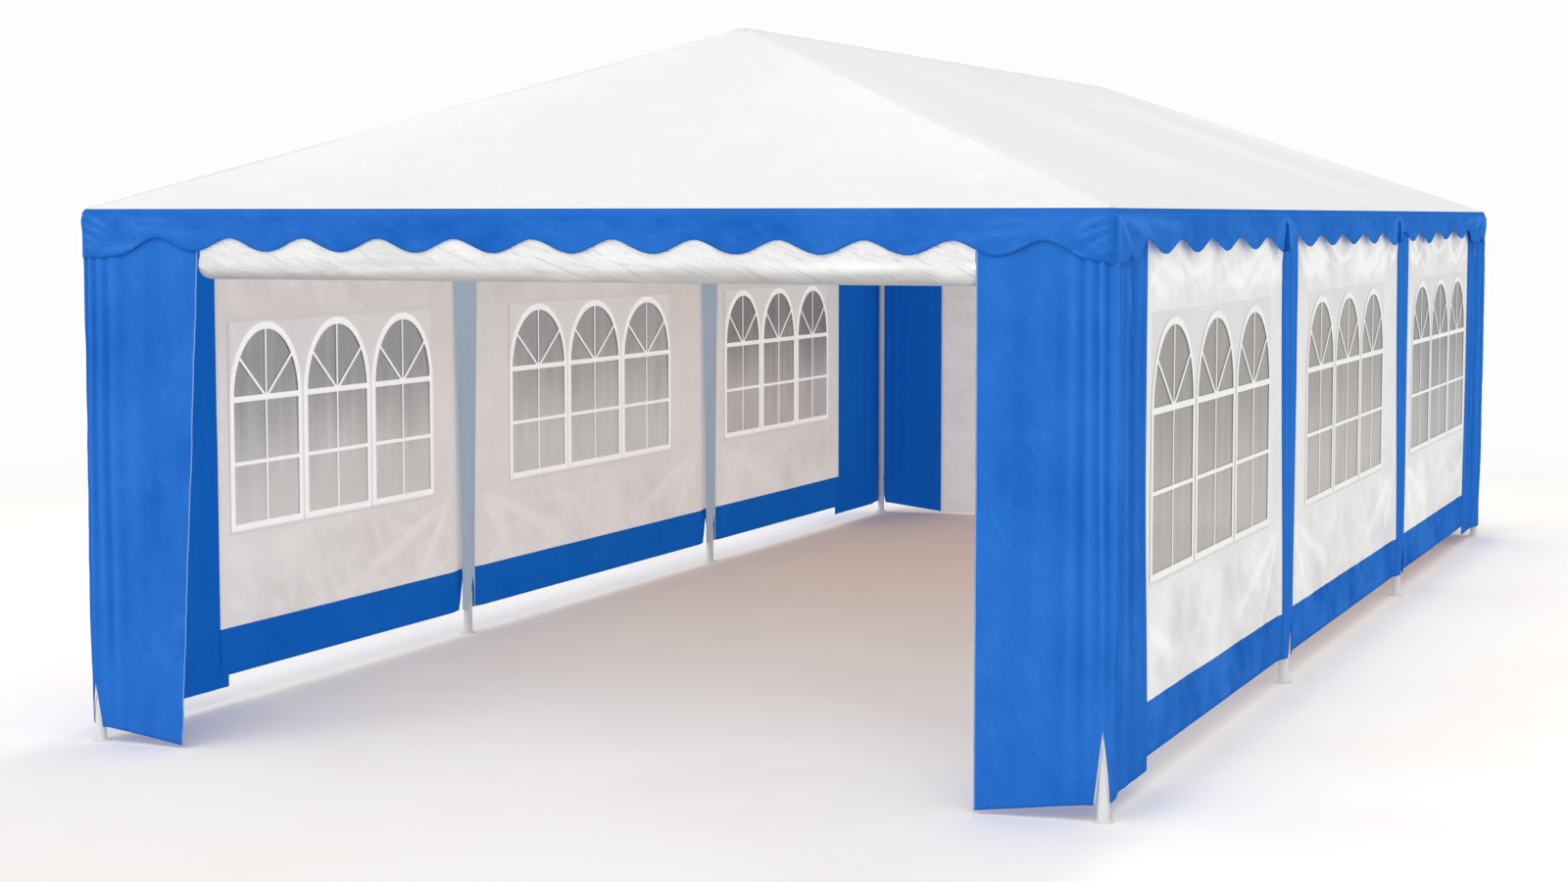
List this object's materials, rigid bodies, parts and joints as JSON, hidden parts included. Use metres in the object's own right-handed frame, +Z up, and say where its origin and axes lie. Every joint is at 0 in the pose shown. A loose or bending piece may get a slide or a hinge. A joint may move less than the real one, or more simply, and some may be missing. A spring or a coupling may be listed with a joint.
{
  "type": "marquee tent",
  "caption": "Rectangular marquee with a hipped roof cover, scalloped valance, arched-window side panels, corner drapes and a rolled-up front door on a steel tube frame.",
  "frame": {"origin": "on the ground, in the middle of the plan", "axes": "+Z up, +Y along the tent from the open front to the closed back, +X to the right seen from the front"},
  "size_m": [4.035, 9.015, 2.7699],
  "materials": {
    "tube_white": "white powder-coated steel tube, satin",
    "roof_white": "white woven polyethylene sheet, faintly wrinkled",
    "panel_white": "white woven polyethylene sheet, soft folds, printed white window bars",
    "canvas_blue": "blue woven polyethylene sheet with a slight sheen",
    "clear_film": "thin clear window film, slightly grey"
  },
  "bodies": {
    "root": {"leg_left_1": "tube_white", "leg_left_2": "tube_white", "leg_left_3": "tube_white", "leg_left_4": "tube_white", "leg_right_1": "tube_white", "leg_right_2": "tube_white", "leg_right_3": "tube_white", "leg_right_4": "tube_white", "corner_joint_front_left": "tube_white", "corner_joint_front_right": "tube_white", "corner_joint_back_left": "tube_white", "corner_joint_back_right": "tube_white", "side_joint_left_2": "tube_white", "side_joint_left_3": "tube_white", "side_joint_right_2": "tube_white", "side_joint_right_3": "tube_white", "apex_joint_front": "tube_white", "eave_tube_front": "tube_white", "apex_joint_back": "tube_white", "eave_tube_back": "tube_white", "eave_tube_left_1": "tube_white", "eave_tube_left_2": "tube_white", "eave_tube_left_3": "tube_white", "eave_tube_right_1": "tube_white", "eave_tube_right_2": "tube_white", "eave_tube_right_3": "tube_white", "hip_rafter_front_left": "tube_white", "hip_rafter_front_right": "tube_white", "hip_rafter_back_left": "tube_white", "hip_rafter_back_right": "tube_white", "side_rafter_left_2": "tube_white", "side_rafter_left_3": "tube_white", "side_rafter_right_2": "tube_white", "side_rafter_right_3": "tube_white", "ridge_tube": "tube_white", "roof_cover_left": "roof_white", "roof_cover_right": "roof_white", "roof_cover_front": "roof_white", "roof_cover_back": "roof_white", "side_panel_left_1": "panel_white", "window_film_left_1": "clear_film", "side_panel_left_2": "panel_white", "window_film_left_2": "clear_film", "side_panel_left_3": "panel_white", "window_film_left_3": "clear_film", "side_panel_right_1": "panel_white", "window_film_right_1": "clear_film", "side_panel_right_2": "panel_white", "window_film_right_2": "clear_film", "side_panel_right_3": "panel_white", "window_film_right_3": "clear_film", "corner_wrap_front_left": "canvas_blue", "corner_wrap_front_right": "canvas_blue", "corner_wrap_back_left": "canvas_blue", "corner_wrap_back_right": "canvas_blue", "rear_panel": "panel_white", "rolled_door": "panel_white"}
  },
  "joints": []
}
